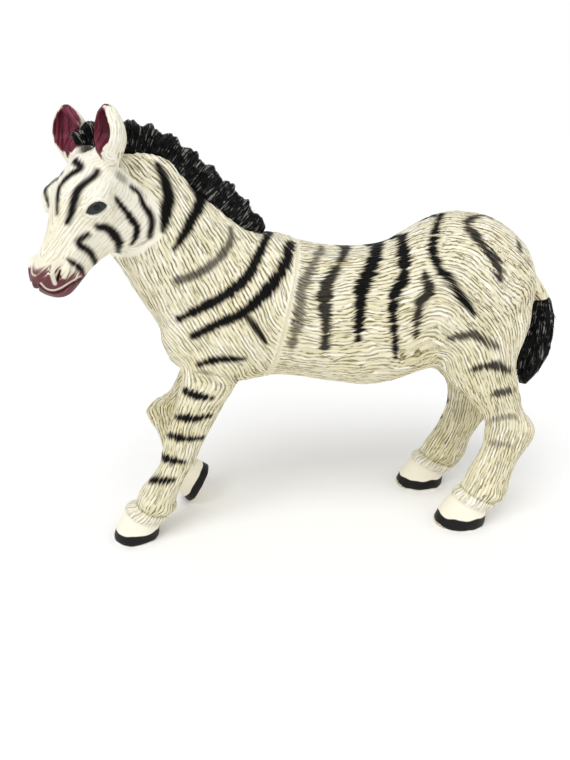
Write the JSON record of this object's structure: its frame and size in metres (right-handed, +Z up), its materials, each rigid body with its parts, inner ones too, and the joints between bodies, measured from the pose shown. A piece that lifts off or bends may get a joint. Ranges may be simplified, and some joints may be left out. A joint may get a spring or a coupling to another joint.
{
  "type": "toy zebra figure",
  "caption": "Walking toy zebra in painted PVC: plugged body halves, forelegs, mane and tail, standing on its hooves.",
  "frame": {"origin": "middle of the figure's bounding box, on the floor under the soles", "axes": "+X from the head towards the tail, -Y towards the zebra's left side, +Z up"},
  "size_m": [0.1388, 0.0428, 0.1144],
  "materials": {
    "ivory_pvc": "moulded hair texture with painted stripes",
    "black_pvc": "painted black over moulded locks"
  },
  "bodies": {
    "root": {"front_body": "ivory_pvc", "rear_body": "ivory_pvc", "left_foreleg": "ivory_pvc", "right_foreleg": "ivory_pvc", "mane": "black_pvc", "tail": "black_pvc"}
  },
  "joints": []
}
